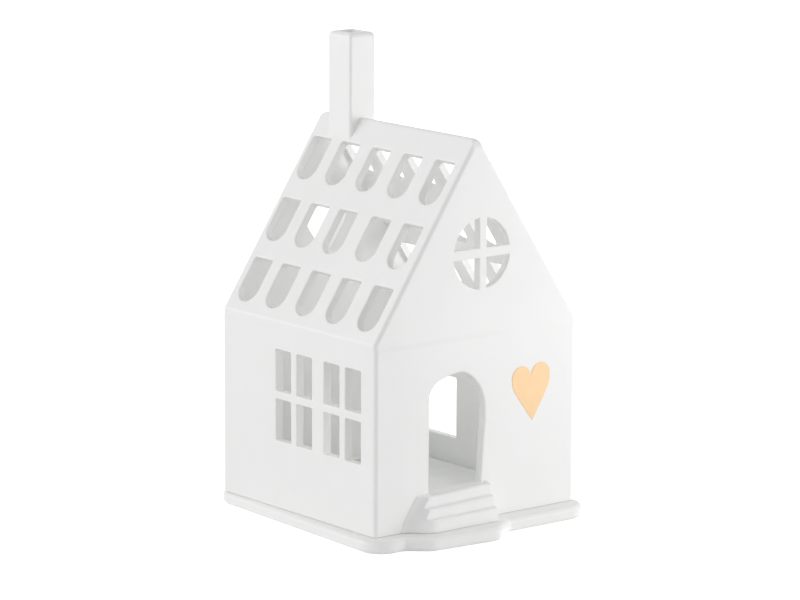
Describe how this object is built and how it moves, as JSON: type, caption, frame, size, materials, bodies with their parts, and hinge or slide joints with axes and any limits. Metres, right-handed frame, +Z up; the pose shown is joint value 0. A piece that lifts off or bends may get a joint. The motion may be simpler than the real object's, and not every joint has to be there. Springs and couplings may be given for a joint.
{
  "type": "tealight house",
  "caption": "White glazed porcelain house with pierced roof, arched doorway, windows, chimney and gold heart, standing over a tealight on a loose base plate",
  "frame": {"origin": "middle of the house's footprint, on the underside that stands on the table", "axes": "+Z up, door towards -Y, four-pane windows towards -X"},
  "size_m": [0.0976, 0.1093, 0.1713],
  "materials": {
    "porcelain": "glossy clear glaze over white porcelain",
    "gold_lustre": "thin satin gold lustre fired on the glaze",
    "cup_metal": "thin drawn aluminium",
    "wax": "white paraffin wax, slightly translucent",
    "holder_metal": "thin tinned steel",
    "cotton": "waxed braided cotton"
  },
  "bodies": {
    "base": {"base_plate": "porcelain"},
    "house": {"front_wall": "porcelain", "rear_wall": "porcelain", "left_wall": "porcelain", "right_wall": "porcelain", "left_roof": "porcelain", "right_roof": "porcelain", "chimney": "porcelain", "door_steps": "porcelain", "gold_heart": "gold_lustre"},
    "tealight": {"tealight_cup": "cup_metal", "tealight_wax": "wax", "wick_sustainer": "holder_metal", "wick": "cotton"}
  },
  "joints": [
    {"name": "house_lift", "type": "slide", "parent": "base", "child": "house", "axis": [0, 0, 1], "range_m": [0, 0.045]},
    {"name": "tealight_lift", "type": "slide", "parent": "base", "child": "tealight", "axis": [0, 0, 1], "range_m": [0, 0.03]}
  ]
}
